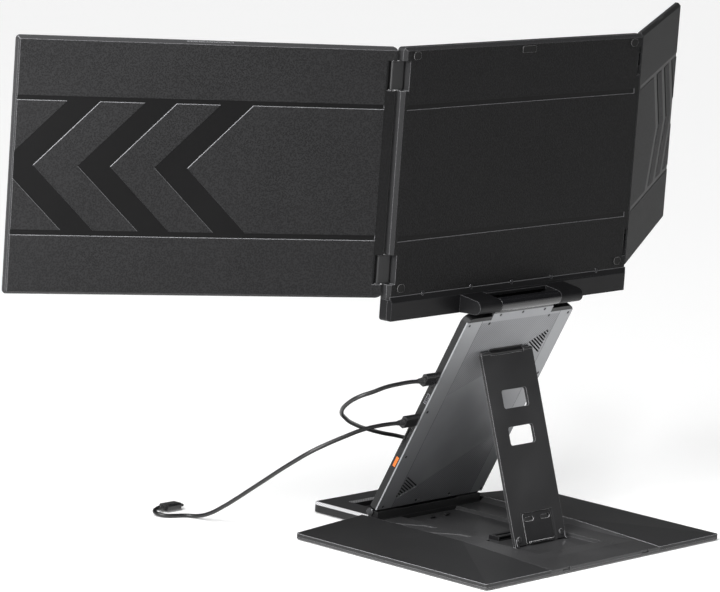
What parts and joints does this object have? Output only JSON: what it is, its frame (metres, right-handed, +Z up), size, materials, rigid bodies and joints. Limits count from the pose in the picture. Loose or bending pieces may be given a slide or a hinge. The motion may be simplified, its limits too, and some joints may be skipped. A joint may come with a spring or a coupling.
{
  "type": "laptop screen extender",
  "caption": "Three folding displays on a leaning arm, held up by a prop strut on a flat faceted floor plate, with ports and a dial on the arm's side.",
  "frame": {"origin": "on the desk under the middle of the floor plate's front edge, on the rubber strip's lower face", "axes": "+X across the desk to the user's right, +Y away from the user, +Z up"},
  "size_m": [0.9924, 0.392, 0.4857],
  "materials": {
    "cover_plastic": "fine textured black",
    "black_plastic": "satin black",
    "gloss_black": "polished black",
    "base_steel": "powder-coated black",
    "trim_metal": "anodised dark grey, satin",
    "arm_cover": "satin grey",
    "steel": "bright",
    "screw_black": "blackened",
    "rubber": "matte",
    "cable_black": "satin jacket",
    "screen_glass": "dark display glass",
    "board": "green board",
    "orange": "satin orange"
  },
  "bodies": {
    "base": {"base_pan": "base_steel", "right_wing_cover": "base_steel", "left_wing_cover": "base_steel", "base_tray": "black_plastic", "strut_catch": "black_plastic", "hook_tabs": "black_plastic", "front_foot_frame": "black_plastic", "front_foot_trim": "trim_metal", "arm_hinge_brackets": "black_plastic", "arm_hinge_caps": "trim_metal", "rubber_feet": "rubber", "base_screws": "screw_black", "lower_cable": "cable_black", "lower_cable_end_plug": "cable_black", "upper_cable": "cable_black", "upper_cable_coil": "cable_black", "upper_cable_end_plug": "cable_black"},
    "arm": {"arm_frame": "black_plastic", "arm_back_cover": "arm_cover", "arm_cover_screws": "screw_black", "control_board": "board", "arm_hinge_barrel": "black_plastic", "arm_hinge_pin": "steel", "upper_usb_port": "steel", "lower_usb_port": "steel", "mini_video_port": "steel", "strut_hinge_bracket": "black_plastic", "strut_hinge_pin": "steel", "tilt_barrel": "gloss_black", "tilt_shaft": "steel", "upper_cable_plug": "cable_black", "lower_cable_plug": "cable_black"},
    "power_button": {"power_button": "orange"},
    "menu_dial": {"menu_dial": "black_plastic"},
    "strut": {"strut_plate": "base_steel", "strut_door": "base_steel", "strut_foot_pin": "steel"},
    "centre_screen": {"centre_back_cover": "cover_plastic", "centre_bezel": "black_plastic", "centre_glass": "screen_glass", "centre_display_board": "board", "chin_cover": "cover_plastic", "chin_screws": "screw_black", "centre_bumpers": "rubber", "tilt_bracket": "cover_plastic", "right_hinge_pins_centre": "steel", "left_hinge_knuckles_centre": "black_plastic", "left_hinge_pins": "steel"},
    "right_links": {"right_hinge_links": "black_plastic"},
    "right_screen": {"right_back_cover": "cover_plastic", "right_bezel": "black_plastic", "right_glass": "screen_glass", "right_display_board": "board", "right_hinge_pins_side": "steel"},
    "left_screen": {"left_back_cover": "cover_plastic", "left_bezel": "black_plastic", "left_glass": "screen_glass", "left_display_board": "board", "left_hinge_knuckles_side": "black_plastic"}
  },
  "joints": [
    {"name": "arm_raise", "type": "hinge", "parent": "base", "child": "arm", "pos_m": [0, 0.0056, 0.01545], "axis": [1, 0, 0], "range_deg": [0, 26]},
    {"name": "strut_swing", "type": "hinge", "parent": "arm", "child": "strut", "pos_m": [0, 0.09472, 0.18278], "axis": [1, 0, 0], "range_deg": [-44.18, 0]},
    {"name": "screen_tilt", "type": "hinge", "parent": "arm", "child": "centre_screen", "pos_m": [0, 0.11569, 0.23604], "axis": [1, 0, 0], "range_deg": [-90, 4]},
    {"name": "right_link_swing", "type": "hinge", "parent": "centre_screen", "child": "right_links", "pos_m": [0.178, 0.0868, 0.368], "axis": [0, 0, -1], "range_deg": [-15.3, 74.7]},
    {"name": "right_screen_swing", "type": "hinge", "parent": "right_links", "child": "right_screen", "pos_m": [0.18803, 0.08406, 0.368], "axis": [0, 0, -1], "range_deg": [-15.3, 74.7]},
    {"name": "left_screen_swing", "type": "hinge", "parent": "centre_screen", "child": "left_screen", "pos_m": [-0.184, 0.0848, 0.368], "axis": [0, 0, 1], "range_deg": [-30.5, 149.5]},
    {"name": "power_button_press", "type": "slide", "parent": "arm", "child": "power_button", "axis": [-1, 0, 0], "range_m": [0, 0.0005], "stiffness_N_per_m": 900},
    {"name": "menu_dial_turn", "type": "hinge", "parent": "arm", "child": "menu_dial", "pos_m": [0.0742, 0.04731, 0.09848], "axis": [0, -0.9026, 0.4305], "range_deg": [-20, 20], "stiffness_Nm_per_rad": 0.02}
  ],
  "couplings": [
    {"joint": "strut_swing", "follows": "arm_raise", "ratio": -1.6987},
    {"joint": "right_screen_swing", "follows": "right_link_swing", "ratio": 1}
  ]
}
